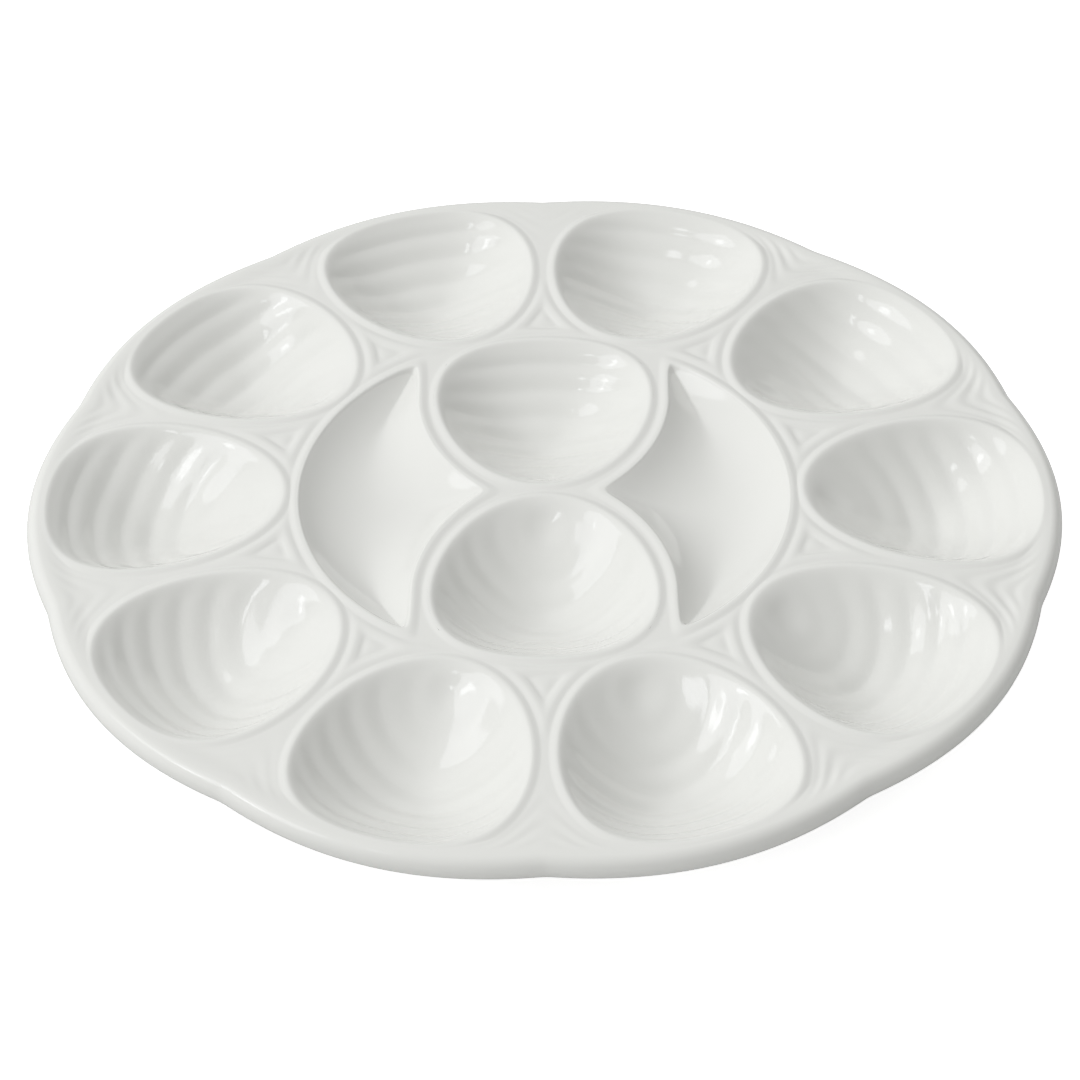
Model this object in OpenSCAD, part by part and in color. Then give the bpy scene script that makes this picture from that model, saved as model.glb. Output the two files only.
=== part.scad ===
// Round serving plate for twelve oysters: ten egg-shaped wells in a circle, two more in the
// middle, and a crescent well for sauce on each side of those.
// The plate stands on its foot ring at z = 0 with the axis of the plate on z. The back well
// lies towards +y, and well 01 towards +x, with the others following anticlockwise.

/* [Oyster wells] */
// Length of a well between its inner lip edges, along the plate's radius
well_length = 82; // [70:0.5:98]
// Width of a well between its inner lip edges
well_width = 76.2; // [60:0.1:92]
// Depth of a well below the deck beside it
well_depth = 20; // [14:0.5:22]
// How far a well's widest place lies outside its middle
well_broad_shift = 11.2; // [4:0.1:12]
// How far the deepest place of a well lies outside its middle
well_pole_shift = 3; // [0:0.5:8]
// Least gap between two neighbouring wells in the circle
well_gap = 8; // [6:0.1:12]

/* [Middle of the plate] */
// Length of a centre well, which has the same outline on this scale
centre_well_length = 81; // [67:0.5:97]
// Gap between the narrow ends of the two centre wells
centre_gap = 7.2; // [5:0.1:9]
// How far the ring round the middle lies outside the centre wells
ring_margin = 0.9; // [0.5:0.1:3]
// Least width of the band between the crescents and the outer wells
ring_band = 5.5; // [4.8:0.1:8]
// Width of the band between a centre well's widest place and the crescent beside it
crescent_band = 7.1; // [6:0.1:9]
// Width of that band at the crescent's inner corner
crescent_corner_band = 8.4; // [6.5:0.1:10]
// Depth of a crescent below the deck beside it
crescent_depth = 13; // [8:0.5:16]
// Width left at the blunt point of a crescent
crescent_point = 2.4; // [1.5:0.1:4]
// Half of the flat at the crescent's inner corner
crescent_corner = 3; // [2:0.1:5]

/* [Wall and lips] */
// Thickness of the deck
deck_thickness = 5; // [4:0.1:6]
// Thickness of a well's floor
floor_thickness = 5; // [4:0.1:6]
// Width of the bead that runs round each well
lip_width = 2; // [1.4:0.1:2.2]
// Height of that bead above the deck
lip_height = 0.6; // [0.4:0.1:2]
// How much lower the deck lies at the circle of well centres than in the middle
crown_drop = 0.8; // [0.3:0.1:1.5]

/* [Rim] */
// Width from the outer end of a well to the edge of a lobe
rim_margin = 7; // [6:0.1:10]
// How far a notch between two lobes cuts in
scallop_depth = 3.7; // [1:0.1:5]
// Width of the rolled edge
rim_width = 9; // [8.5:0.1:12]
// Height of the rolled edge above the deck
rim_height = 0.8; // [0.4:0.1:3]
// How far the rolled edge reaches below the deck's top
rim_roll = 7.2; // [6:0.1:9]

/* [Foot] */
// Radius of the middle of the foot ring
foot_radius = 126; // [118:1:134]
// Width of the foot where it stands
foot_width = 4; // [3:0.1:6]
// Width of the foot where it meets the plate
foot_root_width = 7; // [6:0.1:9]
// Height of the foot below the lowest well
foot_height = 3; // [2:0.1:6]

/* [Hidden] */

// Counts
outer_wells = 10;
well_sides = 36;
crescent_arc_sides = 26;
crescent_inner_sides = 12;
crescent_straight_sides = 3;
rim_sides = 180;
round_sides = 180;
well_step_angle = 360 / outer_wells;

// A cut runs past what it cuts by this much
overrun = 1;

// Shares of a well's outline and section
taper_share = 0.052;
// Each bowl ring is this share of the outline, from the lip to the deepest place
bowl_ring_shares = [0.94, 0.84, 0.69, 0.48, 0.24];
// Each ring of the underside is this share of the outer outline, from the middle outwards
under_ring_shares = [0.34, 0.62, 0.84];
// The bead's section: share of its width from outside, and share of its height
lip_section_shares = [[0.12, 0.7], [0.45, 1], [0.8, 0.75]];
// Power of a well's section towards its broad end, its sides and its narrow end
bowl_power_shares = [1.4, 1.7, 1.25];
crescent_power_share = 1.8;
crown_power_share = 4;
// The rolled edge's section: share of its width from inside, and share of its height above
// the deck where positive, or of its reach below the deck's top where negative
rim_section_shares = [
    [0, 0], [0.14, 0.34], [0.3, 0.86], [0.48, 1], [0.68, 0.84], [0.86, 0.3], [0.97, -0.1],
    [1, -0.36], [0.95, -0.66], [0.8, -0.9], [0.6, -1], [0.34, -0.94], [0.12, -0.8]
];
// The crown is turned as this many straight steps
crown_steps = 12;

// Places that follow from the sizes above
half_length = well_length / 2;
half_width = well_width / 2;
centre_well_share = centre_well_length / well_length;
centre_well_y = (centre_gap + centre_well_length) / 2;
ring_radius = centre_gap / 2 + centre_well_length + ring_margin;
// How far a well reaches towards the line halfway to its neighbour, from its middle
half_step_angle = well_step_angle / 2;
well_side_reach = max([
    for (i = [0 : well_sides - 1])
        let (p = egg(i * 360 / well_sides))
        p.y * cos(half_step_angle) - p.x * sin(half_step_angle)
]);
// The circle is as wide as both the ring inside it and the gaps between the wells need
well_circle_radius = max(
    ring_radius + ring_band + half_length,
    (well_side_reach + well_gap / 2) / sin(half_step_angle)
);
lobe_radius = well_circle_radius + half_length + rim_margin;
notch_radius = lobe_radius - scallop_depth;
deck_height = foot_height + floor_thickness + well_depth
    + crown_z_drop(well_circle_radius + well_pole_shift);

// How far the deck's top at radius r lies below its middle
function crown_z_drop(r) = crown_drop * pow(r / well_circle_radius, crown_power_share);
// Height of the deck's top at radius r
function deck_z(r) = deck_height - crown_z_drop(r);

function mix(a, b, share) = a + (b - a) * share;
function turn(p, angle) = [
    p.x * cos(angle) - p.y * sin(angle),
    p.x * sin(angle) + p.y * cos(angle)
];

// Egg outline of a well, broad end towards +x, as a function of its own angle
function egg(t) = [
    half_length * cos(t) + well_broad_shift * sin(t) * sin(t),
    half_width * sin(t) * (1 - taper_share * cos(t))
];
function egg_run(t) = [
    -half_length * sin(t) + 2 * well_broad_shift * sin(t) * cos(t),
    half_width * (cos(t) * (1 - taper_share * cos(t)) + taper_share * sin(t) * sin(t))
];
// The same outline on a scale, moved outwards by a distance
function egg_offset(t, out, scale_share) =
    egg(t) * scale_share + out * [egg_run(t).y, -egg_run(t).x] / norm(egg_run(t));
// Outline of a well in the plate: its middle at a radius and its broad end outwards
function placed_egg(out, radius, angle, scale_share) = [
    for (i = [0 : well_sides - 1])
        turn(egg_offset(i * 360 / well_sides, out, scale_share) + [radius, 0], angle)
];
// Power of a well's section at each point of its outline
function power_at(along) =
    mix(bowl_power_shares[1], bowl_power_shares[along > 0 ? 0 : 2], along * along);
well_powers = [for (i = [0 : well_sides - 1]) power_at(cos(i * 360 / well_sides))];

// Outline of the right crescent. Its inner side follows the two centre wells at a distance
// as far as their widest place, and runs straight to its point from there.
function centre_well_side(t, out) =
    turn(egg_offset(-t, out, centre_well_share) + [centre_well_y, 0], 90);
function band_at(t, corner) =
    mix(crescent_band, crescent_corner_band, (t - widest_angle) / (corner - widest_angle));
// The egg's own angle at which that side comes down to the corner's flat
function corner_angle(low, high, steps) =
    let (middle = (low + high) / 2)
    steps == 0 ? middle
    : centre_well_side(middle, crescent_corner_band).y > crescent_corner
        ? corner_angle(middle, high, steps - 1)
        : corner_angle(low, middle, steps - 1);
solve_steps = 24;
widest_angle = 93;
corner_t = corner_angle(120, 180, solve_steps);
widest_place = centre_well_side(widest_angle, crescent_band);
point_reach = ring_radius - crescent_point;
point_place = [
    widest_place.x,
    sqrt(point_reach * point_reach - widest_place.x * widest_place.x)
];
point_bearing = atan2(point_place.y, point_place.x);

function crescent_inner(out) = concat(
    [for (i = [0 : crescent_straight_sides - 1])
        mix(point_place + [-out, out], widest_place - [out, 0], i / crescent_straight_sides)],
    [for (i = [0 : crescent_inner_sides])
        let (t = mix(widest_angle, corner_t, i / crescent_inner_sides))
        centre_well_side(t, band_at(t, corner_t) - out)]
);
function crescent_outer(out) = [
    for (i = [0 : crescent_arc_sides])
        let (a = mix(-point_bearing, point_bearing, i / crescent_arc_sides))
        (ring_radius + out) * [cos(a), sin(a)]
];
function backwards(list) = [for (i = [len(list) - 1 : -1 : 0]) list[i]];
function mirrored_y(list) = [for (p = list) [p.x, -p.y]];
// Round the crescent anticlockwise: the ring's arc, then back down the inner side
function crescent_points(out) = concat(
    crescent_outer(out),
    crescent_inner(out),
    backwards(mirrored_y(crescent_inner(out)))
);
crescent_pole = [(centre_well_side(corner_t, crescent_corner_band).x + ring_radius) / 2, 0];
crescent_powers = [for (p = crescent_points(0)) crescent_power_share];

// Points of a plan outline lifted to a height above the deck's top
function at_height(p, height) = [p.x, p.y, deck_z(norm(p)) + height];
function lifted(points, height) = [for (p = points) at_height(p, height)];
function blend(inner, outer, share) = [
    for (i = [0 : len(inner) - 1]) mix(outer[i], inner[i], share)
];
// A ring of a bowl at a share of its outline, whose height runs from that of the outline to
// that of the deepest place
function bowl_ring(points, pole, powers, share, edge, deepest) = [
    for (i = [0 : len(points) - 1])
        at_height(
            pole + (points[i] - pole) * share,
            mix(deepest, edge, pow(share, powers[i]))
        )
];

// A closed skin over a list of rings of equal length, with a point below the first ring and
// one below the last. The rings run anticlockwise seen from above.
module skin(rings, low_pole, top_pole) {
    n = len(rings[0]);
    count = len(rings);
    points = concat([for (ring = rings) for (p = ring) p], [low_pole, top_pole]);
    low = n * count;
    top = low + 1;
    polyhedron(
        points = points,
        faces = concat(
            [for (i = [0 : n - 1]) [low, i, (i + 1) % n]],
            [for (r = [0 : count - 2]) for (i = [0 : n - 1])
                let (a = r * n + i, b = r * n + (i + 1) % n)
                each [[a, a + n, b + n], [a, b + n, b]]],
            [for (i = [0 : n - 1]) [top, low - n + (i + 1) % n, low - n + i]]
        ),
        convexity = 6
    );
}

// Rings of a bowl's underside, from near its middle to the deck's bottom edge
function under_rings(outer, pole, powers, depth) = concat(
    [for (share = under_ring_shares)
        bowl_ring(outer, pole, powers, share, -deck_thickness, -depth - floor_thickness)],
    [lifted(outer, -deck_thickness)]
);
// Rings over the bead and down the bowl's inside
function upper_rings(inner, outer, pole, powers, depth) = concat(
    [lifted(outer, 0)],
    [for (s = lip_section_shares) lifted(blend(inner, outer, s[0]), lip_height * s[1])],
    [lifted(inner, 0)],
    [for (share = bowl_ring_shares) bowl_ring(inner, pole, powers, share, 0, -depth)]
);

// A bowl with its bead, as one shell
module bowl(inner, outer, pole, powers, depth) {
    skin(
        concat(
            under_rings(outer, pole, powers, depth),
            upper_rings(inner, outer, pole, powers, depth)
        ),
        at_height(pole, -depth - floor_thickness),
        at_height(pole, -depth)
    );
}
module egg_bowl(radius, angle, scale_share) {
    bowl(
        placed_egg(0, radius, angle, scale_share),
        placed_egg(lip_width, radius, angle, scale_share),
        turn([radius + well_pole_shift, 0], angle),
        well_powers,
        well_depth
    );
}

// Edge of the plate: ten lobes with a pointed notch between each two
function edge_radius(angle) =
    notch_radius + scallop_depth * abs(cos(angle * outer_wells / 2));
function edge_points(inset) = [
    for (i = [0 : rim_sides - 1])
        let (angle = i * 360 / rim_sides)
        (edge_radius(angle) - inset) * [cos(angle), sin(angle)]
];

// Everything that the wells take out of the deck and the rim
module well_plans() {
    for (i = [0 : outer_wells - 1])
        polygon(placed_egg(lip_width, well_circle_radius, i * well_step_angle, 1));
}
module middle_plans() {
    for (angle = [90, -90])
        polygon(placed_egg(lip_width, centre_well_y, angle, centre_well_share));
    for (side = [0, 1])
        mirror([side, 0]) polygon(crescent_points(lip_width));
}
module well_cuts() {
    translate([0, 0, -overrun])
        linear_extrude(deck_height + 2 * overrun + rim_height) well_plans();
}
module middle_cuts() {
    translate([0, 0, -overrun])
        linear_extrude(deck_height + 2 * overrun) middle_plans();
}

glaze = [0.93, 0.93, 0.92];
bare_body = [0.84, 0.82, 0.77];

// Crowned web between the wells
module deck() {
    color(glaze)
        difference() {
            intersection() {
                rotate_extrude($fn = round_sides)
                    polygon(concat(
                        [for (i = [0 : crown_steps])
                            let (r = lobe_radius * i / crown_steps) [r, deck_z(r)]],
                        [for (i = [crown_steps : -1 : 0])
                            let (r = lobe_radius * i / crown_steps) [r, deck_z(r) - deck_thickness]]
                    ));
                linear_extrude(deck_height + overrun) polygon(edge_points(rim_width));
            }
            well_cuts();
            middle_cuts();
        }
}

// Raised edge that follows the lobes and rolls over outside
function rim_ring(section) = [
    for (i = [0 : rim_sides - 1])
        let (
            angle = i * 360 / rim_sides,
            edge = edge_radius(angle),
            r = edge - rim_width * (1 - section[0]),
            top = deck_z(edge - rim_width)
        )
        [
            r * cos(angle),
            r * sin(angle),
            top + section[1] * (section[1] > 0 ? rim_height : rim_roll)
        ]
];
module rim() {
    rings = [for (section = rim_section_shares) rim_ring(section)];
    lowest = [for (p = rings[0]) p - [0, 0, deck_thickness]];
    loops = concat(rings, [lowest]);
    n = rim_sides;
    count = len(loops);
    color(glaze)
        difference() {
            polyhedron(
                points = [for (ring = loops) for (p = ring) p],
                faces = [
                    for (r = [0 : count - 1]) for (i = [0 : n - 1])
                        let (
                            a = r * n + i,
                            b = r * n + (i + 1) % n,
                            c = ((r + 1) % count) * n + i,
                            d = ((r + 1) % count) * n + (i + 1) % n
                        )
                        each [[a, b, d], [a, d, c]]
                ],
                convexity = 8
            );
            well_cuts();
        }
}

// Ring that the plate stands on, cut to the undersides of the wells that it crosses
module foot_ring() {
    color(bare_body)
        difference() {
            rotate_extrude($fn = round_sides)
                polygon([
                    [foot_radius - foot_width / 2, 0],
                    [foot_radius + foot_width / 2, 0],
                    [foot_radius + foot_root_width / 2, foot_height],
                    [foot_radius + foot_root_width / 2,
                        deck_z(foot_radius + foot_root_width / 2) - deck_thickness],
                    [foot_radius - foot_root_width / 2,
                        deck_z(foot_radius - foot_root_width / 2) - deck_thickness],
                    [foot_radius - foot_root_width / 2, foot_height]
                ]);
            for (i = [0 : outer_wells - 1])
                well_underside(i * well_step_angle);
        }
}
// The space that an outer well takes up below the deck
module well_underside(angle) {
    outer = placed_egg(lip_width, well_circle_radius, angle, 1);
    pole = turn([well_circle_radius + well_pole_shift, 0], angle);
    skin(
        concat(under_rings(outer, pole, well_powers, well_depth), [lifted(outer, 0)]),
        at_height(pole, -well_depth - floor_thickness),
        at_height(pole, 0)
    );
}

module centre_well_back() {
    color(glaze) egg_bowl(centre_well_y, 90, centre_well_share);
}
module centre_well_front() {
    color(glaze) egg_bowl(centre_well_y, -90, centre_well_share);
}

// Crescent for sauce
module sauce_well_right() {
    color(glaze)
        bowl(
            crescent_points(0),
            crescent_points(lip_width),
            crescent_pole,
            crescent_powers,
            crescent_depth
        );
}
module sauce_well_left() {
    mirror([1, 0, 0]) sauce_well_right();
}

// One of the wells in the circle, counted anticlockwise from +x
module oyster_well(number) {
    color(glaze) egg_bowl(well_circle_radius, (number - 1) * well_step_angle, 1);
}

deck();
rim();
foot_ring();
centre_well_back();
centre_well_front();
sauce_well_left();
sauce_well_right();
oyster_well(1);  // oyster_well_01
oyster_well(2);  // oyster_well_02
oyster_well(3);  // oyster_well_03
oyster_well(4);  // oyster_well_04
oyster_well(5);  // oyster_well_05
oyster_well(6);  // oyster_well_06
oyster_well(7);  // oyster_well_07
oyster_well(8);  // oyster_well_08
oyster_well(9);  // oyster_well_09
oyster_well(10);  // oyster_well_10
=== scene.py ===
# %% [markdown]
# # A glazed oyster plate
# The plate is one piece of white porcelain under a clear glaze: ten wells in a circle, two more
# in the middle, two crescents for sauce, a rolled and scalloped rim, and a bare foot ring.
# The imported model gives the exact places. This lesson dresses it with smooth, detailed skins.

import math

import bmesh
import bpy
import numpy as np
from mathutils import Matrix, Vector


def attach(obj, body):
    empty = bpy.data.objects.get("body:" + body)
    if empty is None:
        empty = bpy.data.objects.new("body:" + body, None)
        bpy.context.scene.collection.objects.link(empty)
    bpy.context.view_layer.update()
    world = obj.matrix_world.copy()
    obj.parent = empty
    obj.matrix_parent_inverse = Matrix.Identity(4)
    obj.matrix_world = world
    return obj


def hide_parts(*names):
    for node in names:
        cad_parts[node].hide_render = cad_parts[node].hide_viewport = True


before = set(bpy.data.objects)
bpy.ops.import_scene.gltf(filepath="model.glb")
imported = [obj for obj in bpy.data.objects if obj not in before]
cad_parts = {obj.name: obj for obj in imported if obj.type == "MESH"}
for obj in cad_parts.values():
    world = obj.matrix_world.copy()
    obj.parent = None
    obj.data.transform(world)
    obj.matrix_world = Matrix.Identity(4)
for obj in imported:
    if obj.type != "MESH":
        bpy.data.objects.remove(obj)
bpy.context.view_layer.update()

# %% [markdown]
# ## The sizes that the skins share with the model
# Everything below is in millimetres until a mesh is made. The plate is crowned: its deck is
# almost flat in the middle and falls away towards the rim. A lip or a rim is a soft bead, given
# by its height and by how far its crest and its foot lie from the edge that it follows.

# %% Shared sizes
MM = 0.001
OUTER_WELLS = 10
WELL_TURN = 360 / OUTER_WELLS
WELL_CIRCLE, CENTRE_WELL_Y, CENTRE_SCALE = 132.0, 44.1, 81 / 82
WELL_HALF_LENGTH, WELL_HALF_WIDTH, WELL_DEPTH = 41.0, 38.1, 20.0
# How far the broad end swells, how much the hinge end tapers, and where the deepest place is
WELL_BROAD_SHIFT, WELL_TAPER, WELL_POLE = 11.2, 0.052, 3.0
RING = 85.5
CRESCENT_BAND, CRESCENT_CORNER_BAND, CRESCENT_DEPTH = 7.1, 8.4, 13.5
WALL, CROWN_DROP, DECK_AT_WELLS = 5.0, 0.8, 28.0
DECK_TOP = DECK_AT_WELLS + CROWN_DROP * ((WELL_CIRCLE + WELL_POLE) / WELL_CIRCLE) ** 4
LIP_CREST, LIP_FOOT, LIP_HEIGHT = 0.9, 3.9, 0.5
EDGE, SCALLOP, NOTCH_SOFTNESS = 176.4, 3.6, 0.0012
RIM_RADIUS, RIM_CREST, RIM_FOOT = 4.5, 0.8, 13.0
# Where a well's skin meets the deck's, how far it laps over it, and how far it dips, and where
SEAM, LAP, SINK, SINK_RUN = 2.0, 0.25, 0.02, 0.1


def crown(r):
    return DECK_TOP - CROWN_DROP * (r / WELL_CIRCLE) ** 4


print("deck, mm high:", round(DECK_TOP, 2), "in the middle,", round(crown(EDGE), 2), "at the edge")

# %% [markdown]
# ## The egg outline
# Each well is an egg with its broad end outwards. The outline is a formula of one angle, so its
# slope and its bend are formulas too, and the nearest point on it to any place is found by
# Newton's method in a few rounds.

# %% Egg outline and distance
NEWTON_ROUNDS, LEAST_RATE, LONGEST_STEP = 7, 200.0, 0.35
EGG_MIDDLE = 4


def egg(t):
    return np.stack([
        WELL_HALF_LENGTH * np.cos(t) + WELL_BROAD_SHIFT * np.sin(t) ** 2,
        WELL_HALF_WIDTH * np.sin(t) * (1 - WELL_TAPER * np.cos(t)),
    ], -1)


def egg_run(t):
    return np.stack([
        -WELL_HALF_LENGTH * np.sin(t) + WELL_BROAD_SHIFT * np.sin(2 * t),
        WELL_HALF_WIDTH * (np.cos(t) - WELL_TAPER * np.cos(2 * t)),
    ], -1)


def egg_bend(t):
    return np.stack([
        -WELL_HALF_LENGTH * np.cos(t) + 2 * WELL_BROAD_SHIFT * np.cos(2 * t),
        WELL_HALF_WIDTH * (-np.sin(t) + 2 * WELL_TAPER * np.sin(2 * t)),
    ], -1)


def egg_out(t):
    run = egg_run(t)
    return np.stack([run[..., 1], -run[..., 0]], -1) / np.linalg.norm(run, axis=-1)[..., None]


def egg_distance(x, y, scale=1.0):
    """Distance outside the egg, negative inside, and the egg's angle there."""
    px, py = x / scale, y / scale
    t = np.arctan2(py / WELL_HALF_WIDTH, (px - EGG_MIDDLE) / WELL_HALF_LENGTH)
    for _ in range(NEWTON_ROUNDS):
        e, run, bend = egg(t), egg_run(t), egg_bend(t)
        gx, gy = e[..., 0] - px, e[..., 1] - py
        slope = gx * run[..., 0] + gy * run[..., 1]
        rate = (run ** 2).sum(-1) + gx * bend[..., 0] + gy * bend[..., 1]
        t = t - np.clip(slope / np.maximum(rate, LEAST_RATE), -LONGEST_STEP, LONGEST_STEP)
    e, out = egg(t), egg_out(t)
    return scale * ((px - e[..., 0]) * out[..., 0] + (py - e[..., 1]) * out[..., 1]), t


outline = egg(np.linspace(0, 2 * math.pi, 721))
print("well, mm long and wide:", np.round(outline.max(0) - outline.min(0), 1))

# %% Turns and lobes
def turned(x, y, degrees):
    a = np.radians(degrees)
    return x * np.cos(a) - y * np.sin(a), x * np.sin(a) + y * np.cos(a)


def lobe(angle):
    """One in the middle of each lobe of the rim, and zero in the notches."""
    return np.abs(np.cos(OUTER_WELLS / 2 * angle))


def edge_radius(angle):
    return EDGE + SCALLOP * np.sqrt(lobe(angle) ** 2 + NOTCH_SOFTNESS)


print("plate, mm across:", round(2 * edge_radius(0.0), 1))

# %% [markdown]
# ## The relief of the deck
# Every raised line on the plate is a soft bead, so one height formula adds them up: the lips of
# the wells and crescents, the rolled rim, the triangles of the inner web and the chevrons of the
# outer web. Separate skins that use one formula meet without a visible seam.

# %% Beads and soft choices
def bead(d, height=LIP_HEIGHT, crest=LIP_CREST, foot=LIP_FOOT):
    return height * np.cos(np.clip((d - crest) / (foot - crest), 0, 1) * math.pi / 2) ** 2


def bump(d, height, middle, half):
    return height * np.cos(np.clip((d - middle) / half, -1, 1) * math.pi / 2) ** 2


def joined(*heights):
    return sum(np.maximum(h, 0) ** 3 for h in heights) ** (1 / 3)


def soft_min(a, b, width):
    return (a + b - np.sqrt((a - b) ** 2 + width ** 2)) / 2


def step(x, low, high):
    s = np.clip((x - low) / (high - low), 0, 1)
    return s * s * (3 - 2 * s)


def rim_bead(x, y):
    """The rim's height and the distance in from the plate's edge."""
    inward = edge_radius(np.arctan2(y, x)) - np.hypot(x, y)
    return bead(inward, RIM_CREST, RIM_RADIUS, RIM_FOOT), inward


# %% Outline of a crescent
# The band beside a centre well widens from the well's widest place to its hinge end
BAND_START, BAND_END = math.radians(93), math.radians(160)
SADDLE_SOFTNESS, CRESCENT_CORNER = 6.0, 4.5


def crescent_side(x, y):
    """Distance inside the crescent's inner side, for x and y above zero."""
    soft_y = np.sqrt(y * y + SADDLE_SOFTNESS)
    d, t = egg_distance(soft_y - CENTRE_WELL_Y, -x, CENTRE_SCALE)
    share = np.clip((np.abs(t) - BAND_START) / (BAND_END - BAND_START), 0, 1)
    curved = d - CRESCENT_BAND - (CRESCENT_CORNER_BAND - CRESCENT_BAND) * share
    along, across = CENTRE_SCALE * egg(BAND_START)
    return np.where(soft_y > CENTRE_WELL_Y + along, x - across - CRESCENT_BAND, curved)


def crescent_inside(x, y):
    x, y = np.abs(x), np.abs(y)
    return soft_min(crescent_side(x, y), RING - np.hypot(x, y), CRESCENT_CORNER)


# %% Triangles and chevrons
# Height, distance from the lips and half width of the triangle's line and of its groove
TRIANGLE_LINE, TRIANGLE_GROOVE = (0.34, 5.6, 2.6), (-0.2, 8.4, 1.6)
TRIANGLE_CORNER, TRIANGLE_START, TRIANGLE_END = 2.5, (86, 90), (118, 124)
RING_CORNER, RING_REACH = 1.0, 40.0
CHEVRON_HEIGHT, CHEVRON_SPACING, CHEVRON_START, CHEVRON_CORNER = 0.16, 3.9, 2.2, 9.0
# Where the chevrons fade in: away from the lips, from the rim and from the middle
CHEVRON_OFF_LIP, CHEVRON_OFF_RIM, CHEVRON_OUT = (2.5, 7.5), (5.0, 10.0), (137, 146)
# How plainly the chevrons stand out on each outer web, from 18 degrees anticlockwise
CHEVRONS = np.array([0.9, 0.9, 0.25, 0.55, 0.6, 0.4, 0.25, 0.5, 0.75, 0.9])
# Past these radii the centre wells, and short of them the outer ones, are too far off to matter
CENTRE_REACH, OUTER_REACH, FAR_OFF = 96, 80, 50.0


def web_relief(r, own, other, inward, web, middle, sauce):
    """Raised triangles inside the circle of wells, chevrons outside it."""
    ring = soft_min(soft_min(middle, sauce, RING_CORNER), RING_REACH, RING_CORNER)
    ring = np.where(r < CENTRE_REACH, ring, r - RING)
    inner = soft_min(soft_min(own, other, TRIANGLE_CORNER), ring, TRIANGLE_CORNER)
    triangle = bump(inner, *TRIANGLE_LINE) + bump(inner, *TRIANGLE_GROOVE)
    triangle = triangle * step(r, *TRIANGLE_START) * (1 - step(r, *TRIANGLE_END))
    between = soft_min(own, other, CHEVRON_CORNER) - CHEVRON_START
    wave = CHEVRON_HEIGHT * np.cos(2 * math.pi * between / CHEVRON_SPACING)
    wave = wave * step(np.minimum(own, other), *CHEVRON_OFF_LIP)
    wave = wave * step(inward, *CHEVRON_OFF_RIM) * step(r, *CHEVRON_OUT)
    return triangle + wave * CHEVRONS[web]


def off_well(where, x, y, out, turn, scale=1.0):
    """Distance outside the well at that place, worked out only where it matters."""
    d = np.full(x.shape, FAR_OFF)
    wx, wy = turned(x[where], y[where], -turn)
    d[where] = egg_distance(wx - out, wy, scale)[0]
    return d


def deck_height(x, y):
    """Height of the deck's top, with all its beads, at any place outside the wells."""
    r = np.hypot(x, y)
    web = (np.degrees(np.arctan2(y, x)) % 360 // WELL_TURN).astype(int) % OUTER_WELLS
    wx, wy = turned(x, y, -WELL_TURN * (web + 0.5))
    wy = np.abs(wy)
    far, near = r > OUTER_REACH, r < CENTRE_REACH
    own = off_well(far, wx, wy, WELL_CIRCLE, WELL_TURN / 2)
    other = off_well(far, wx, wy, WELL_CIRCLE, -WELL_TURN / 2)
    mx, my = np.abs(x), np.abs(y)
    middle = off_well(near, mx, my, CENTRE_WELL_Y, 90, CENTRE_SCALE)
    saddle = off_well(near, mx, my, CENTRE_WELL_Y, -90, CENTRE_SCALE)
    sauce = np.full(r.shape, FAR_OFF)
    sauce[near] = -crescent_inside(mx[near], my[near])
    rim, inward = rim_bead(x, y)
    lips = joined(*(bead(d) for d in (own, other, middle, saddle, sauce)), rim)
    return crown(r) + lips + web_relief(r, own, other, inward, web, middle, sauce)


def deck_under(x, y):
    return crown(np.hypot(x, y)) - WALL


# %% [markdown]
# ## From a flat sheet to a glazed skin
# Each skin starts as a flat grid. A function says where each point of the grid goes, and the
# same function, moved by a hair, gives the exact direction of the surface there. The sheet is
# extruded for its thickness, so every piece is closed, and its underside gets its own function.

# %% Places and directions
# A small move over the plate in millimetres, and over a sheet whose sides are 1 long
HAIR, NUDGE = 0.02, 1e-4


def unit(n):
    return n / np.maximum(np.linalg.norm(n, axis=-1), 1e-12)[:, None]


def directions(place, u, v):
    """Unit vectors square to the surface."""
    if hasattr(place, "height"):
        x, y = place(u, v)[:, :2].T
        east = (place.height(x + HAIR, y) - place.height(x - HAIR, y)) / (2 * HAIR)
        north = (place.height(x, y + HAIR) - place.height(x, y - HAIR)) / (2 * HAIR)
        return unit(np.stack([-east, -north, np.ones_like(east)], -1))
    inner = np.clip(v, 3 * NUDGE, 1 - 3 * NUDGE)
    along = place(u + NUDGE, inner) - place(u - NUDGE, inner)
    across = place(u, inner + NUDGE) - place(u, inner - NUDGE)
    return unit(np.cross(along, across))


def put(verts, layer, place, u, v):
    spots, normals = place(u, v) * MM, directions(place, u, v)
    for vert, spot, normal in zip(verts, spots, normals):
        vert.co = spot
        vert[layer] = normal


def both_sides(make_place, *values):
    """A sheet's place functions for its top and its underside."""
    return make_place(*values, False), make_place(*values, True)


# %% Sheets and skins
MERGE = 1e-6


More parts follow.
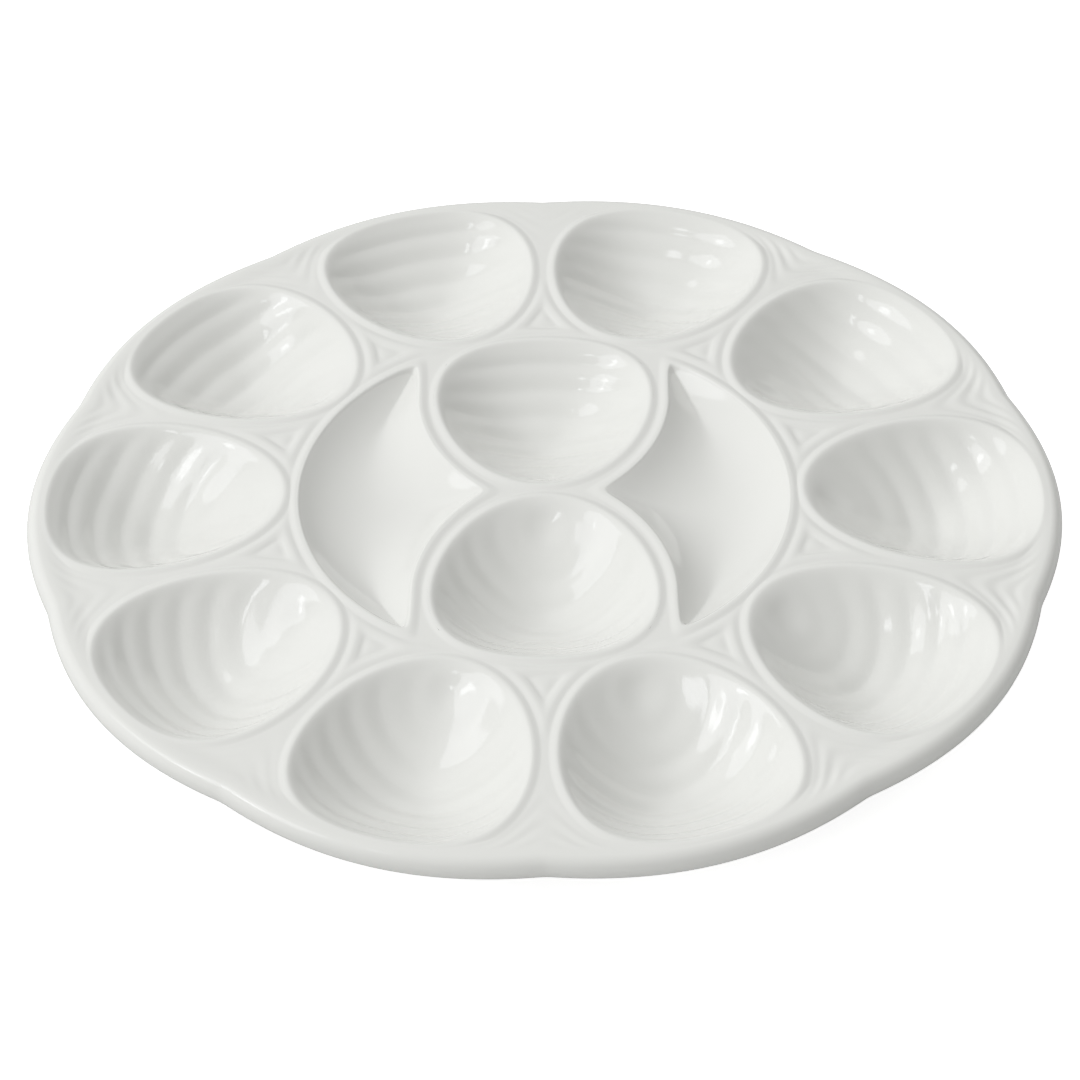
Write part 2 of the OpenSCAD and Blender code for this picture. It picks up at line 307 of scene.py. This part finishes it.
def closed_sheets(name, sheets):
    """A closed mesh from sheets of (columns, rows, top place, underside place)."""
    bm = bmesh.new()
    normal = bm.verts.layers.float_vector.new("surface")
    across = bm.verts.layers.float_vector.new("sheet")
    for number, (columns, rows, top, _) in enumerate(sheets):
        before = len(bm.verts)
        bmesh.ops.create_grid(bm, x_segments=columns, y_segments=rows, size=0.5)
        bm.verts.ensure_lookup_table()
        verts = bm.verts[before:]
        uv = np.array([v.co[:2] for v in verts]) + 0.5
        for vert, (u, v) in zip(verts, uv):
            vert[across] = (u, v, number)
        put(verts, normal, top, uv[:, 0], uv[:, 1])
    bmesh.ops.remove_doubles(bm, verts=bm.verts, dist=MERGE)
    grown = bmesh.ops.extrude_face_region(bm, geom=bm.faces[:])["geom"]
    lower = [g for g in grown if isinstance(g, bmesh.types.BMVert)]
    for number, (_, _, _, under) in enumerate(sheets):
        mine = [v for v in lower if round(v[across].z) == number]
        uv = np.array([v[across][:2] for v in mine])
        put(mine, normal, under, uv[:, 0], uv[:, 1])
    bmesh.ops.recalc_face_normals(bm, faces=bm.faces)
    mesh = bpy.data.meshes.new(name)
    bm.to_mesh(mesh)
    bm.free()
    return mesh


def shade_as_surface(mesh):
    """Gives each point the direction of the true surface, turned to face outwards."""
    wanted = np.empty(len(mesh.vertices) * 3, np.float32)
    mesh.attributes["surface"].data.foreach_get("vector", wanted)
    found = np.empty_like(wanted)
    mesh.vertex_normals.foreach_get("vector", found)
    wanted, found = wanted.reshape(-1, 3), found.reshape(-1, 3)
    wanted *= np.where((wanted * found).sum(1) < 0, -1, 1)[:, None]
    mesh.shade_smooth()
    mesh.normals_split_custom_set_from_vertices(wanted.tolist())
    mesh.attributes.remove(mesh.attributes["surface"])
    mesh.attributes.remove(mesh.attributes["sheet"])


def glazed_skin(name, sheets, nodes, material):
    mesh = closed_sheets(name, sheets)
    shade_as_surface(mesh)
    piece = bpy.data.objects.new(name, mesh)
    bpy.context.scene.collection.objects.link(piece)
    mesh.materials.append(material)
    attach(piece, "root")
    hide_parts(*nodes)
    print(name, len(mesh.polygons), "faces")


# %% [markdown]
# ## The glaze
# White porcelain under a clear glaze is smooth and bright. The glaze runs a little thicker in
# hollows, where it looks a touch cooler, and its surface is never quite flat, which bends the
# reflections slightly. One node group makes two patterns, a slow one and a fine one, for the glaze
# and for the bare porcelain of the foot. The slow one lays the cooler colour in patches at random,
# not by the hollows, and makes the waviness. The fine one makes the grain and the roughness.

# %% Pattern of a fired surface
FINE_SCALE = 9


def node(tree, kind, where, **values):
    n = tree.nodes.new(kind)
    n.location = where
    for key, value in values.items():
        setattr(n, key, value)
    return n


def make_fired_group():
    group = bpy.data.node_groups.new("fired_surface", "ShaderNodeTree")
    face = group.interface
    for name, kind, value in (
        ("Scale", "NodeSocketFloat", 30.0),
        ("Clean", "NodeSocketColor", (0.9, 0.9, 0.88, 1)),
        ("Pooled", "NodeSocketColor", (0.86, 0.87, 0.85, 1)),
    ):
        socket = face.new_socket(name, in_out="INPUT", socket_type=kind)
        socket.default_value = value
    face.new_socket("Colour", in_out="OUTPUT", socket_type="NodeSocketColor")
    face.new_socket("Height", in_out="OUTPUT", socket_type="NodeSocketFloat")
    face.new_socket("Grain", in_out="OUTPUT", socket_type="NodeSocketFloat")
    into = node(group, "NodeGroupInput", (-900, 0))
    out = node(group, "NodeGroupOutput", (600, 0))
    where = node(group, "ShaderNodeTexCoord", (-900, 300))
    slow = node(group, "ShaderNodeTexNoise", (-600, 200))
    slow.inputs["Detail"].default_value = 3
    fine = node(group, "ShaderNodeTexNoise", (-600, -200))
    fine.inputs["Detail"].default_value = 2
    more = node(group, "ShaderNodeMath", (-750, -200), operation="MULTIPLY")
    more.inputs[1].default_value = FINE_SCALE
    mix = node(group, "ShaderNodeMix", (200, 200), data_type="RGBA")
    link = group.links.new
    link(where.outputs["Object"], slow.inputs["Vector"])
    link(where.outputs["Object"], fine.inputs["Vector"])
    link(into.outputs["Scale"], slow.inputs["Scale"])
    link(into.outputs["Scale"], more.inputs[0])
    link(more.outputs[0], fine.inputs["Scale"])
    link(slow.outputs["Fac"], mix.inputs["Factor"])
    link(into.outputs["Clean"], mix.inputs["A"])
    link(into.outputs["Pooled"], mix.inputs["B"])
    link(mix.outputs["Result"], out.inputs["Colour"])
    link(slow.outputs["Fac"], out.inputs["Height"])
    link(fine.outputs["Fac"], out.inputs["Grain"])
    return group


fired_surface = make_fired_group()
print("group:", fired_surface.name, "with", len(fired_surface.nodes), "nodes")

# %% Glaze and bare porcelain
def fired_material(name, clean, pooled, scale, roughness, waviness, grain):
    """Waviness and grain are the bumps' depths in metres."""
    material = bpy.data.materials.new(name)
    material.use_nodes = True
    tree = material.node_tree
    shader = tree.nodes["Principled BSDF"]
    group = node(tree, "ShaderNodeGroup", (-700, 0), node_tree=fired_surface)
    group.inputs["Scale"].default_value = scale
    group.inputs["Clean"].default_value = (*clean, 1)
    group.inputs["Pooled"].default_value = (*pooled, 1)
    rough = node(tree, "ShaderNodeMapRange", (-400, 0))
    rough.inputs["To Min"].default_value = roughness[0]
    rough.inputs["To Max"].default_value = roughness[1]
    wave = node(tree, "ShaderNodeBump", (-400, -300))
    wave.inputs["Strength"].default_value = 1.0
    wave.inputs["Distance"].default_value = waviness
    pores = node(tree, "ShaderNodeBump", (-200, -300))
    pores.inputs["Strength"].default_value = 1.0
    pores.inputs["Distance"].default_value = grain
    link = tree.links.new
    link(group.outputs["Colour"], shader.inputs["Base Color"])
    link(group.outputs["Grain"], rough.inputs["Value"])
    link(rough.outputs["Result"], shader.inputs["Roughness"])
    link(group.outputs["Height"], wave.inputs["Height"])
    link(group.outputs["Grain"], pores.inputs["Height"])
    link(wave.outputs["Normal"], pores.inputs["Normal"])
    link(pores.outputs["Normal"], shader.inputs["Normal"])
    print(name, "roughness", roughness)
    return material


glaze = fired_material(
    "white_glaze", clean=(0.885, 0.888, 0.86), pooled=(0.865, 0.872, 0.84), scale=28.0,
    roughness=(0.06, 0.09), waviness=0.0002, grain=0.000004,
)
bare = fired_material(
    "bare_porcelain", clean=(0.71, 0.68, 0.62), pooled=(0.62, 0.59, 0.53), scale=160.0,
    roughness=(0.62, 0.78), waviness=0.0001, grain=0.00004,
)

# %% [markdown]
# ## A well
# An oyster sits broad end outwards. The bowl is deepest outside its middle, with a steady rise
# to the outer lip and a shallower one to the hinge end. Growth ridges run round the hinge as on
# a shell, with a small round dimple near it. The grid is polar: its rows step from the deepest
# place to the lip's crest, and on to the seam with the deck.

# %% Growth ridges
HINGE_X, HINGE_WIDENING, FIRST_RIDGE = -30, 0.93, 11
RIDGE_HEIGHT, RIDGE_SPACING, RIDGE_SHARPNESS, RIDGE_LEVEL = 0.62, 10.6, 0.8, 0.55
# Towards the broad end, this far from the first ridge, the ridges have crowded up by this many
CROWDING_REACH, CROWDING = 57, 0.6
# Each fade-in of the ridges, by distance from the hinge, and its share of their height
RIDGE_NEAR, NEAR_SHARE, RIDGE_FULL, FULL_SHARE = (5, 14), 0.3, (12, 30), 0.7
RIDGE_START = (7, 12)
DIMPLE_X, DIMPLE_DEPTH, DIMPLE_SIDE = -31.5, 0.85, (0.5, 9.0)


def ridges(x, y, shift):
    """Growth ridges and dimple in the well's own place, x outwards."""
    reach = np.hypot(x - HINGE_X, y * HINGE_WIDENING)
    run = np.clip(reach - FIRST_RIDGE, 0, None)
    phase = (run - shift) / RIDGE_SPACING + CROWDING * (run / CROWDING_REACH) ** 3
    wave = (0.5 + 0.5 * np.cos(2 * math.pi * phase)) ** RIDGE_SHARPNESS - RIDGE_LEVEL
    strength = FULL_SHARE * step(reach, *RIDGE_FULL) + NEAR_SHARE * step(reach, *RIDGE_NEAR)
    dimple = DIMPLE_DEPTH * (1 - step(np.hypot(x - DIMPLE_X, y), *DIMPLE_SIDE))
    return RIDGE_HEIGHT * wave * strength * step(reach, *RIDGE_START) - dimple


# %% Bowl of a well
# The bowl's power, and how much gentler it is straight outwards and straight to the hinge
BOWL_POWER, OUTER_EASE, HINGE_EASE = 1.7, 0.3, 0.45
POLE_SOFTNESS, CREST_ROUNDING, UNDERSIDE_ROUNDING = 0.16, 1.7, 5.0
# The front wells of the circle have their ridges this much further from the hinge
FRONT_SHIFT = 5.5
CREST_ROW, ROW_BUNCHING = 0.86, 0.9
RIDGES_OFF_CREST = (1.5, 8.0)


def bowl_share(s, ray, power, rounding):
    """Share of the depth at a share of the ray from the deepest place to the crest."""
    away = (1 - s) * ray
    whole = np.sqrt(ray ** 2 + rounding ** 2) - rounding
    s = 1 - (np.sqrt(away ** 2 + rounding ** 2) - rounding) / whole
    flat, full = POLE_SOFTNESS ** power, (1 + POLE_SOFTNESS ** 2) ** (power / 2)
    return (full - (s ** 2 + POLE_SOFTNESS ** 2) ** (power / 2)) / (full - flat)


def tucked(out):
    """How far an edge dips under the deck's edge that it overlaps."""
    return SINK * step(out, SEAM - SINK_RUN, SEAM + LAP)


def well_place(radius, angle, scale, underside):
    frontness = max(0.0, -math.sin(math.radians(angle)))
    shift = FRONT_SHIFT * frontness * (radius == WELL_CIRCLE)
    pole = np.array([WELL_POLE, 0.0])

    def place(u, v):
        t = 2 * math.pi * u
        c = np.cos(t)
        power = BOWL_POWER - np.where(c > 0, OUTER_EASE, HINGE_EASE) * c * c
        out = egg_out(t)
        crest = egg(t) * scale + out * LIP_CREST
        ray = np.linalg.norm(crest - pole, axis=-1)
        inside = v <= CREST_ROW
        s = np.sin(np.clip(v / CREST_ROW, 0, 1) * math.pi / 2) ** ROW_BUNCHING
        past = (SEAM + LAP - LIP_CREST) * (v - CREST_ROW) / (1 - CREST_ROW)
        spot = np.where(
            inside[..., None],
            pole + (crest - pole) * s[..., None],
            crest + out * past[..., None],
        )
        lx, ly = spot[..., 0], spot[..., 1]
        x, y = turned(lx + radius, ly, angle)
        top = crown(np.hypot(x, y))
        d = np.where(inside, 0.0, LIP_CREST + past)
        if underside:
            whole = ray + SEAM - LIP_CREST
            share = np.clip(np.linalg.norm(spot - pole, axis=-1) / whole, 0, 1)
            bowl = bowl_share(share, whole, power, UNDERSIDE_ROUNDING)
            z = top - WALL - WELL_DEPTH * bowl + tucked(d)
        else:
            bowl = np.where(inside, bowl_share(s, ray, power, CREST_ROUNDING), 0.0)
            z = top + joined(bead(d), rim_bead(x, y)[0]) - (WELL_DEPTH + LIP_HEIGHT) * bowl
            wall = step((1 - s) * ray, *RIDGES_OFF_CREST) * inside
            z = z + ridges(lx / scale, ly / scale, shift) * wall - tucked(d)
        return np.stack([x, y, z], -1)
    return place


# %% Twelve wells
WELL_GRID = 144, 76


def make_well(name, radius, angle, scale):
    sheets = [(*WELL_GRID, *both_sides(well_place, radius, angle, scale))]
    glazed_skin(name, sheets, [name], glaze)


for number in range(OUTER_WELLS):
    make_well(f"oyster_well_{number + 1:02d}", WELL_CIRCLE, WELL_TURN * number, 1.0)
make_well("centre_well_back", CENTRE_WELL_Y, 90, CENTRE_SCALE)
make_well("centre_well_front", CENTRE_WELL_Y, -90, CENTRE_SCALE)

# %% [markdown]
# ## The crescents
# A crescent's floor is a soft dish between two walls, one along the ring and one along the
# centre wells. Towards each point the walls close in and meet in a fine valley line. Its grid is
# polar too, and its columns bunch up towards the two points.

# %% Outline from a place inside
CRESCENT_X, CRESCENT_TIP = 57.0, (45.2, 71.5)
TIP_BEARING = math.atan2(CRESCENT_TIP[1], CRESCENT_TIP[0] - CRESCENT_X)
FARTHEST, HALVINGS, LEAST_X = 95.0, 34, 4


def outline_radius(bearing, level):
    """Distance along each bearing to where the crescent's inside is at a level."""
    low, high = np.zeros_like(bearing), np.full_like(bearing, FARTHEST)
    for _ in range(HALVINGS):
        middle = (low + high) / 2
        x, y = CRESCENT_X + middle * np.cos(bearing), middle * np.sin(bearing)
        inside = (crescent_inside(x, y) > level) & (x > LEAST_X)
        low, high = np.where(inside, middle, low), np.where(inside, high, middle)
    return low


def outline_reach(bearings, level):
    """The same, with each column of a sheet measured only once."""
    values, where = np.unique(bearings, return_inverse=True)
    return outline_radius(values, level)[where]


def crescent_bearing(u):
    """Bearings bunched towards the two points of the crescent."""
    turn = u * 4 % 4
    part, side = turn % 1, np.floor(turn)
    return np.select([side == 0, side == 1, side == 2, side == 3], [
        TIP_BEARING * (1 - (1 - part) ** 2),
        TIP_BEARING + (math.pi - TIP_BEARING) * part ** 2,
        math.pi + (math.pi - TIP_BEARING) * (1 - (1 - part) ** 2),
        2 * math.pi - TIP_BEARING + TIP_BEARING * part ** 2,
    ])


print("crescent's point, degrees:", round(math.degrees(TIP_BEARING), 1))

# %% Dish of a crescent
DISH_STEEPNESS, DISH_ROUNDING, DISH_UNDER_ROUNDING = 0.95, 1.4, 4.0
# How softly the two walls meet at the points, how much more in the middle, and where that ends
VALLEY_SOFTNESS, MIDDLE_SOFTNESS, MIDDLE_END = 0.25, 2.4, (22, 58)
DISH_EDGE, DISH_MARGIN = 1.6, 1
SAUCE_GRID, SAUCE_CREST_ROW = (240, 84), 0.88


def sauce_wall(d, rounding):
    away = np.clip(d + LIP_CREST, 0, None)
    away = np.sqrt(away ** 2 + rounding ** 2) - rounding
    return CRESCENT_DEPTH * (1 - np.exp(-away * DISH_STEEPNESS / CRESCENT_DEPTH))


def sauce_depth(x, y, rounding):
    x, y = np.abs(x), np.abs(y)
    side, arc = crescent_side(x, y), RING - np.hypot(x, y)
    softness = VALLEY_SOFTNESS + MIDDLE_SOFTNESS * (1 - step(y, *MIDDLE_END))
    depth = soft_min(sauce_wall(side, rounding), sauce_wall(arc, rounding), softness)
    within = np.minimum(side, arc) > -LIP_CREST - DISH_MARGIN
    edge = step(crescent_inside(x, y), -LIP_CREST, DISH_EDGE - LIP_CREST)
    return np.where(within, np.maximum(depth, 0), 0) * edge


def sauce_top(x, y):
    out, top = -crescent_inside(x, y), crown(np.hypot(x, y))
    return top + bead(out) - sauce_depth(x, y, DISH_ROUNDING) - tucked(out)


def sauce_under(x, y):
    out, top = -crescent_inside(x, y), crown(np.hypot(x, y))
    return top - WALL - sauce_depth(x, y, DISH_UNDER_ROUNDING) + tucked(out)


def crescent_place(side, underside):
    def place(u, v):
        bearing = crescent_bearing(u)
        crest = outline_reach(bearing, -LIP_CREST)
        seam = outline_reach(bearing, -SEAM - LAP)
        s = np.sin(np.clip(v / SAUCE_CREST_ROW, 0, 1) * math.pi / 2)
        past = (v - SAUCE_CREST_ROW) / (1 - SAUCE_CREST_ROW)
        reach = np.where(v <= SAUCE_CREST_ROW, crest * s, crest + (seam - crest) * past)
        x, y = CRESCENT_X + reach * np.cos(bearing), reach * np.sin(bearing)
        return np.stack([side * x, y, place.height(x, y)], -1)
    place.height = sauce_under if underside else sauce_top
    return place


for name, side in (("sauce_well_right", 1), ("sauce_well_left", -1)):
    sheets = [(*SAUCE_GRID, *both_sides(crescent_place, side))]
    glazed_skin(name, sheets, [name], glaze)

# %% [markdown]
# ## The deck
# Between the wells the deck is a web. One panel fills the space between two neighbouring wells
# from the middle ring to the rim: its left and right sides follow the lips, and each of its
# rows is an arc from lip to lip that bends with the scallop near the rim.

# %% Deck panels
PANEL_GRID, RING_SEAM = (84, 88), 88.25
# The share of the rows before the panel reaches the wells
PANEL_START = 0.03
# How far the rim's inner edge bends in at the notches, and where in the panel that starts
RIM_DIP, DIP_START = 7.6, (112, 140)


def well_lip_polar(t):
    p = egg(t) + egg_out(t) * SEAM
    x, y = p[..., 0] + WELL_CIRCLE, p[..., 1]
    return np.hypot(x, y), np.arctan2(y, x)


def panel_place(angle, underside):
    def place(u, v):
        tau = np.clip((v - PANEL_START) / (1 - PANEL_START), 0, 1)
        radius, bearing = well_lip_polar(math.pi * (1 - tau))
        first = v < PANEL_START
        radius = np.where(first, RING_SEAM + (radius - RING_SEAM) * v / PANEL_START, radius)
        bearing = np.where(first, 0.0, bearing)
        theta = bearing + u * (math.radians(WELL_TURN) - 2 * bearing)
        r = radius - RIM_DIP * step(radius, *DIP_START) * (lobe(bearing) - lobe(theta))
        theta = theta + math.radians(angle)
        x, y = r * np.cos(theta), r * np.sin(theta)
        return np.stack([x, y, place.height(x, y)], -1)
    place.height = deck_under if underside else deck_height
    return place


for number in range(OUTER_WELLS):
    sheets = [(*PANEL_GRID, *both_sides(panel_place, WELL_TURN * number))]
    glazed_skin(f"deck_panel_{number + 1:02d}", sheets, ["deck"], glaze)

# %% [markdown]
# ## The middle of the deck
# Inside the ring the deck is only narrow bands: between each centre well and the crescents,
# round the ring, and a small saddle between the two centre wells. Each band is a sheet stretched
# between two lines, made for one quarter of the middle and mirrored for the other three.

# %% Lines that the bands follow
def crescent_seam(bearing):
    reach = outline_reach(bearing, -SEAM)
    return np.stack([CRESCENT_X + reach * np.cos(bearing), reach * np.sin(bearing)], -1)


def crescent_edge(share):
    """The crescent's seam along the centre well, from the x axis at 0 to its tip at 1."""
    return crescent_seam(math.pi - (math.pi - TIP_BEARING) * share)


def crescent_arc(share):
    """The crescent's seam along the ring, from the x axis at 0 to its tip at 1."""
    return crescent_seam(TIP_BEARING * share)


SADDLE_CORNER, TIP = crescent_edge(np.array([0.0, 1.0]))
TIP_ANGLE = math.atan2(TIP[1], TIP[0])
# The back centre well's angles abreast of the saddle's corner and of the crescent's tip
CORNER_T, TIP_T = math.radians(150), math.radians(58)
EDGE_BUNCHING = 0.75


def ring_line(start, end):
    def line(u):
        angle = start + (end - start) * u
        return RING_SEAM * np.stack([np.cos(angle), np.sin(angle)], -1)
    return line


def well_line(start, end):
    """Along the right side of the back centre well, between two of the egg's angles."""
    def line(u):
        t = -(start + (end - start) * u)
        p = egg(t) * CENTRE_SCALE + egg_out(t) * SEAM
        return np.stack([-p[..., 1], p[..., 0] + CENTRE_WELL_Y], -1)
    return line


def axis_line(u):
    return np.stack([SADDLE_CORNER[0] * u, 0 * u], -1)


def edge_line(u):
    return crescent_edge(np.clip(u, 0, 1) ** EDGE_BUNCHING)


def from_tip(line):
    """Straight from the crescent's tip to the start of a line."""
    return lambda u: TIP + (line(np.zeros_like(u)) - TIP) * u[..., None]


print("crescent's tip, mm:", np.round(TIP, 1))

# %% Deck middle
BAND_ROWS, TIP_COLUMNS = 14, 14


def band_place(line_a, line_b, flip_x, flip_y, underside):
    def place(u, v):
        a, b = line_a(u), line_b(u)
        p = a + (b - a) * v[..., None]
        x, y = p[..., 0] * flip_x, p[..., 1] * flip_y
        return np.stack([x, y, place.height(x, y)], -1)
    place.height = deck_under if underside else deck_height
    return place


beside_ring = well_line(TIP_T, 0.0), ring_line(TIP_ANGLE, math.pi / 2)
bands = [
    (30, well_line(math.pi, CORNER_T), axis_line),
    (90, well_line(CORNER_T, TIP_T), edge_line),
    (60, *beside_ring),
    (140, crescent_arc, ring_line(0.0, TIP_ANGLE)),
    (TIP_COLUMNS, *map(from_tip, beside_ring)),
]
sheets = [
    (columns, BAND_ROWS, *both_sides(band_place, line_a, line_b, flip_x, flip_y))
    for flip_x in (1, -1) for flip_y in (1, -1) for columns, line_a, line_b in bands
]
glazed_skin("deck_middle", sheets, ["deck"], glaze)

# %% [markdown]
# ## The rim
# The edge of the plate rises to a soft crest, rolls over and comes back underneath. Its ten
# lobes meet in shallow notches between the wells. The top's sheet and the underside's each make
# a quarter turn round the edge, and they meet where it is widest.

# %% Rim
# The grid, and the share of its rows before the edge starts to roll over
RIM_GRID, ROLL_START = (960, 30), 0.4


def rim_place(underside):
    def place(u, v):
        angle = 2 * math.pi * u
        crest = edge_radius(angle) - RIM_RADIUS
        inner = WELL_CIRCLE + WELL_HALF_LENGTH + SEAM - RIM_DIP * (1 - lobe(angle))
        before = v < ROLL_START
        roll = np.clip((v - ROLL_START) / (1 - ROLL_START), 0, 1) * math.pi / 2
        r = np.where(
            before,
            inner + (crest - inner) * v / ROLL_START,
            crest + RIM_RADIUS * np.sin(roll),
        )
        x, y = r * np.cos(angle), r * np.sin(angle)
        if underside:
            share = np.clip((r - inner) / (crest - inner), 0, 1)
            drop = WALL + (2 * RIM_RADIUS - RIM_CREST - WALL) * step(r, inner, crest)
            sheet = crown(r) * (1 - share) + crown(crest) * share - drop
            rolled = crown(crest) + RIM_CREST - RIM_RADIUS * (1 + np.cos(roll))
        else:
            sheet = deck_height(x, y)
            rolled = deck_height(crest * np.cos(angle), crest * np.sin(angle))
            rolled = rolled - RIM_RADIUS * (1 - np.cos(roll))
        return np.stack([x, y, np.where(before, sheet, rolled)], -1)
    return place


glazed_skin("rim", [(*RIM_GRID, *both_sides(rim_place))], ["rim"], glaze)

# %% [markdown]
# ## The foot ring
# The foot is wiped clean of glaze before firing, so the plate doesn't stick to the kiln shelf.
# Its bare porcelain is matt and slightly warm.

# %% Foot ring
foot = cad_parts["foot_ring"]
foot.data.materials.clear()
foot.data.materials.append(bare)
print("foot ring:", foot.data.materials[0].name)

# %% [markdown]
# ## Table, light and camera
# The photograph has an almost shadowless white ground. Its light is soft: a sky that is
# brightest to the upper left and falls off evenly to the right, which shades the bowls, one near
# window on the left, and two small far panes that make the bright spots in the glaze. The ground
# and the sky look white to the camera only, so the white adds no light to the plate.

# %% Ground
GROUND_HALF, GROUND_COLOUR, GROUND_ROUGHNESS = 6, 0.8, 0.9
# Added for the camera only, so that the ground is white there and still takes a faint shadow
GROUND_GLOW = 0.79


def make_ground():
    bm = bmesh.new()
    bmesh.ops.create_grid(bm, x_segments=1, y_segments=1, size=GROUND_HALF)
    mesh = bpy.data.meshes.new("floor")
    bm.to_mesh(mesh)
    bm.free()
    floor = bpy.data.objects.new("floor", mesh)
    bpy.context.scene.collection.objects.link(floor)
    material = bpy.data.materials.new("white_ground")
    material.use_nodes = True
    tree = material.node_tree
    shader = tree.nodes["Principled BSDF"]
    shader.inputs["Roughness"].default_value = GROUND_ROUGHNESS
    shader.inputs["Base Color"].default_value = (*[GROUND_COLOUR] * 3, 1)
    glow = node(tree, "ShaderNodeEmission", (0, 300))
    add = node(tree, "ShaderNodeAddShader", (250, 200))
    seen = node(tree, "ShaderNodeLightPath", (-300, 400))
    level = node(tree, "ShaderNodeMath", (-100, 350), operation="MULTIPLY")
    level.inputs[1].default_value = GROUND_GLOW
    link = tree.links.new
    link(seen.outputs["Is Camera Ray"], level.inputs[0])
    link(level.outputs[0], glow.inputs["Strength"])
    link(shader.outputs[0], add.inputs[0])
    link(glow.outputs[0], add.inputs[1])
    link(add.outputs[0], tree.nodes["Material Output"].inputs["Surface"])
    mesh.materials.append(material)
    print("ground, m:", 2 * GROUND_HALF, "square")


make_ground()

# %% Sky
SKY_COLOUR = (1, 1, 0.99, 1)
# The strength is the level plus its slope to the right, to the back and upwards
SKY_LEVEL, SKY_SLOPE, SKY_LEAST = 0.28, (-0.58, 0.13, 0.66), 0.18


def make_sky():
    world = bpy.data.worlds.new("studio")
    bpy.context.scene.world = world
    world.use_nodes = True
    tree = world.node_tree
    back = tree.nodes["Background"]
    back.inputs["Color"].default_value = SKY_COLOUR
    heading = node(tree, "ShaderNodeTexCoord", (-900, 0))
    facing = node(tree, "ShaderNodeVectorMath", (-700, 0), operation="DOT_PRODUCT")
    facing.inputs[1].default_value = SKY_SLOPE
    sloped = node(tree, "ShaderNodeMath", (-500, 0), operation="ADD")
    sloped.inputs[1].default_value = SKY_LEVEL
    least = node(tree, "ShaderNodeMath", (-300, 0), operation="MAXIMUM")
    least.inputs[1].default_value = SKY_LEAST
    seen = node(tree, "ShaderNodeLightPath", (-500, 300))
    white = node(tree, "ShaderNodeMix", (-100, 100))
    white.inputs["B"].default_value = 1.0
    link = tree.links.new
    link(heading.outputs["Generated"], facing.inputs[0])
    link(facing.outputs["Value"], sloped.inputs[0])
    link(sloped.outputs[0], least.inputs[0])
    link(least.outputs[0], white.inputs["A"])
    link(seen.outputs["Is Camera Ray"], white.inputs["Factor"])
    link(white.outputs["Result"], back.inputs["Strength"])
    print("sky, straight up:", round(SKY_LEVEL + SKY_SLOPE[2], 2))


make_sky()

# %% Window
WINDOW_COLOUR = (0.98, 0.99, 1.04)


def window_panel(name, azimuth, away, width, heights, radiance):
    """An upright panel of light that faces the plate's axis, in degrees and metres."""
    lamp = bpy.data.lights.new(name, "AREA")
    lamp.shape = "RECTANGLE"
    lamp.size, lamp.size_y = width, heights[1] - heights[0]
    lamp.color = WINDOW_COLOUR
    lamp.energy = radiance * math.pi * lamp.size * lamp.size_y
    panel = bpy.data.objects.new(name, lamp)
    bpy.context.scene.collection.objects.link(panel)
    a = math.radians(azimuth)
    out = Vector((math.cos(a), math.sin(a), 0))
    panel.location = away * out + Vector((0, 0, sum(heights) / 2))
    panel.rotation_mode = "QUATERNION"
    panel.rotation_quaternion = out.to_track_quat("Z", "Y")
    print(name, round(lamp.energy, 1), "W")


for name, azimuth, away, width, heights, radiance in (
    ("window", 188, 1.3, 1.2, (1.1, 2.3), 1.75),
    ("window_pane_left", 222, 3.0, 0.6, (5.0, 6.1), 3.4),
    ("window_pane_back", 187, 3.0, 0.55, (3.0, 3.65), 3.4),
):
    window_panel(name, azimuth, away, width, heights, radiance)

# %% Camera
# The focal length is in pixels of the photograph. The target is on the deck's level, and like
# the distance it is in shares of the circle of wells. The angles are in degrees.
PHOTO_WIDTH, SENSOR_WIDTH = 1080, 36
FOCAL_PIXELS, AWAY, TARGET = 3482.0, 9.030, (-0.0119, -0.1972)
ELEVATION, YAW, ROLL = 41.179, 0.455, -0.835


def make_camera():
    camera = bpy.data.cameras.new("camera")
    camera.sensor_width = SENSOR_WIDTH
    camera.lens = FOCAL_PIXELS / PHOTO_WIDTH * SENSOR_WIDTH
    camera.clip_start, camera.clip_end = 0.05, 50
    thing = bpy.data.objects.new("camera", camera)
    bpy.context.scene.collection.objects.link(thing)
    e, yaw, roll = (math.radians(a) for a in (ELEVATION, YAW, ROLL))
    tx, ty = turned(*TARGET, YAW)
    back = Vector((math.sin(yaw) * math.cos(e), -math.cos(yaw) * math.cos(e), math.sin(e)))
    target = Vector((tx * WELL_CIRCLE, ty * WELL_CIRCLE, DECK_TOP)) * MM
    x = Vector((0, 0, 1)).cross(back).normalized()
    y = back.cross(x)
    x, y = math.cos(roll) * x + math.sin(roll) * y, -math.sin(roll) * x + math.cos(roll) * y
    thing.rotation_mode = "QUATERNION"
    thing.rotation_quaternion = Matrix((x, y, back)).transposed().to_quaternion()
    thing.location = target + back * AWAY * WELL_CIRCLE * MM
    bpy.context.scene.camera = thing
    print("camera:", round(camera.lens, 1), "mm,", round(AWAY * WELL_CIRCLE * MM, 2), "m away")


make_camera()
bpy.context.scene.view_settings.view_transform = "Standard"
